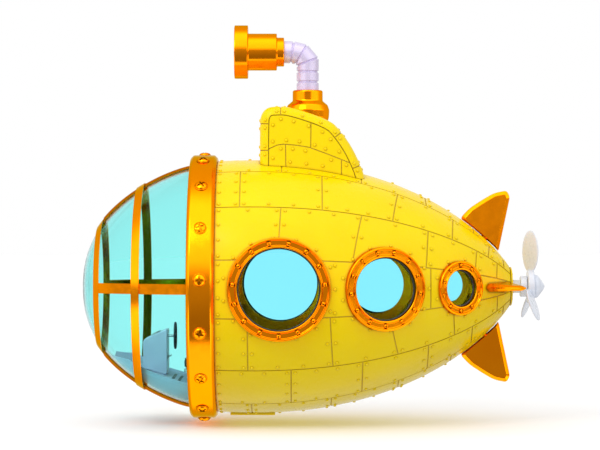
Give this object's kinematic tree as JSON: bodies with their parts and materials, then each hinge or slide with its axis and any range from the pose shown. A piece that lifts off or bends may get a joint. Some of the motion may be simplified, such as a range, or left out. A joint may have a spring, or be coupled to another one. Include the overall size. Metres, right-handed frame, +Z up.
{
  "type": "submarine",
  "caption": "Small personal submarine with a domed glass bow, riveted round hull, portholes, conning tower, turning periscope, all-moving tail fins and a stern propeller.",
  "frame": {"origin": "centre of the flat underside of the landing pad, on the hull's keel line", "axes": "+X towards the stern along the hull, -X towards the bow, +Z up, +Y towards starboard"},
  "size_m": [4.152, 2.358, 3.527],
  "materials": {
    "hull_paint": "glossy yellow enamel on riveted plate",
    "gold_metal": "polished warm gold",
    "tinted_glass": "clear cyan-tinted dome",
    "porthole_glass": "cyan-tinted flat glass",
    "white_enamel": "smooth white enamel",
    "mast_enamel": "glossy pale lilac-white enamel",
    "deck_paint": "satin pale blue-grey",
    "black_plastic": "fine-grained black",
    "seat_fabric": "charcoal woven upholstery",
    "bare_steel": "brushed",
    "motor_paint": "satin dark grey"
  },
  "bodies": {
    "hull": {"hull_shell": "hull_paint", "conning_tower": "hull_paint", "bow_band": "gold_metal", "canopy_glass": "tinted_glass", "hoop_front": "gold_metal", "hoop_middle": "gold_metal", "rib_top_front": "gold_metal", "rib_port_front": "gold_metal", "rib_bottom_front": "gold_metal", "rib_starboard_front": "gold_metal", "rib_top_rear": "gold_metal", "rib_port_rear": "gold_metal", "rib_bottom_rear": "gold_metal", "rib_starboard_rear": "gold_metal", "porthole_frame_front_port": "gold_metal", "porthole_frame_front_starboard": "gold_metal", "porthole_frame_middle_port": "gold_metal", "porthole_frame_middle_starboard": "gold_metal", "porthole_frame_rear_port": "gold_metal", "porthole_frame_rear_starboard": "gold_metal", "porthole_glass_front_port": "porthole_glass", "porthole_glass_front_starboard": "porthole_glass", "porthole_glass_middle_port": "porthole_glass", "porthole_glass_middle_starboard": "porthole_glass", "porthole_glass_rear_port": "porthole_glass", "porthole_glass_rear_starboard": "porthole_glass", "periscope_base": "gold_metal", "mast_guides": "bare_steel", "tail_plate": "hull_paint", "stern_tube": "white_enamel", "stern_bearing": "white_enamel", "motor_casing": "motor_paint", "battery_box": "motor_paint", "floor_deck": "deck_paint", "footwell_pan": "deck_paint", "console": "deck_paint", "seat_frame": "bare_steel", "seat_cushion": "seat_fabric", "seat_back": "seat_fabric", "lever_quadrant": "deck_paint", "lever_pin": "bare_steel", "landing_pad": "hull_paint"},
    "drive_rotor": {"propeller": "white_enamel", "propeller_shaft": "bare_steel", "spinner": "white_enamel"},
    "upper_rudder": {"rudder_upper": "gold_metal"},
    "lower_rudder": {"rudder_lower": "gold_metal"},
    "port_plane": {"stern_plane_port": "gold_metal"},
    "starboard_plane": {"stern_plane_starboard": "gold_metal"},
    "steering": {"steering_wheel": "black_plastic", "steering_shaft": "bare_steel"},
    "dive_control": {"dive_lever": "black_plastic"},
    "throttle_control": {"throttle_lever": "black_plastic"},
    "mast_lift": {"mast_carriage": "bare_steel"},
    "periscope": {"periscope_mast": "mast_enamel", "periscope_elbow": "mast_enamel", "periscope_head": "gold_metal", "periscope_lens": "porthole_glass"}
  },
  "joints": [
    {"name": "propeller_spin", "type": "hinge", "parent": "hull", "child": "drive_rotor", "pos_m": [2.496, 0, 1.152], "axis": [1, 0, 0], "continuous": true},
    {"name": "rudder_turn", "type": "hinge", "parent": "hull", "child": "upper_rudder", "pos_m": [2.08, 0, 1.152], "axis": [0, 0, 1], "range_deg": [-25, 25]},
    {"name": "lower_rudder_turn", "type": "hinge", "parent": "hull", "child": "lower_rudder", "pos_m": [2.08, 0, 1.152], "axis": [0, 0, 1], "range_deg": [-25, 25]},
    {"name": "plane_tilt", "type": "hinge", "parent": "hull", "child": "port_plane", "pos_m": [2.205, 0, 1.152], "axis": [0, 1, 0], "range_deg": [-20, 20]},
    {"name": "starboard_plane_tilt", "type": "hinge", "parent": "hull", "child": "starboard_plane", "pos_m": [2.205, 0, 1.152], "axis": [0, 1, 0], "range_deg": [-20, 20]},
    {"name": "steering_turn", "type": "hinge", "parent": "hull", "child": "steering", "pos_m": [-0.698, 0, 0.71], "axis": [-1, 0, 0], "range_deg": [-150, 150]},
    {"name": "dive_lever_swing", "type": "hinge", "parent": "hull", "child": "dive_control", "pos_m": [-0.48, 0.266, 0.592], "axis": [0, 1, 0], "range_deg": [-30, 30]},
    {"name": "throttle_swing", "type": "hinge", "parent": "hull", "child": "throttle_control", "pos_m": [-0.48, 0.354, 0.592], "axis": [0, 1, 0], "range_deg": [-35, 35]},
    {"name": "mast_rise", "type": "slide", "parent": "hull", "child": "mast_lift", "axis": [0, 0, 1], "range_m": [-0.12, 0.14]},
    {"name": "periscope_turn", "type": "hinge", "parent": "mast_lift", "child": "periscope", "pos_m": [0.492, 0, 3.26], "axis": [0, 0, 1], "continuous": true}
  ],
  "couplings": [
    {"joint": "lower_rudder_turn", "follows": "rudder_turn", "ratio": 1},
    {"joint": "steering_turn", "follows": "rudder_turn", "ratio": 6},
    {"joint": "starboard_plane_tilt", "follows": "plane_tilt", "ratio": 1},
    {"joint": "dive_lever_swing", "follows": "plane_tilt", "ratio": -1.5}
  ]
}
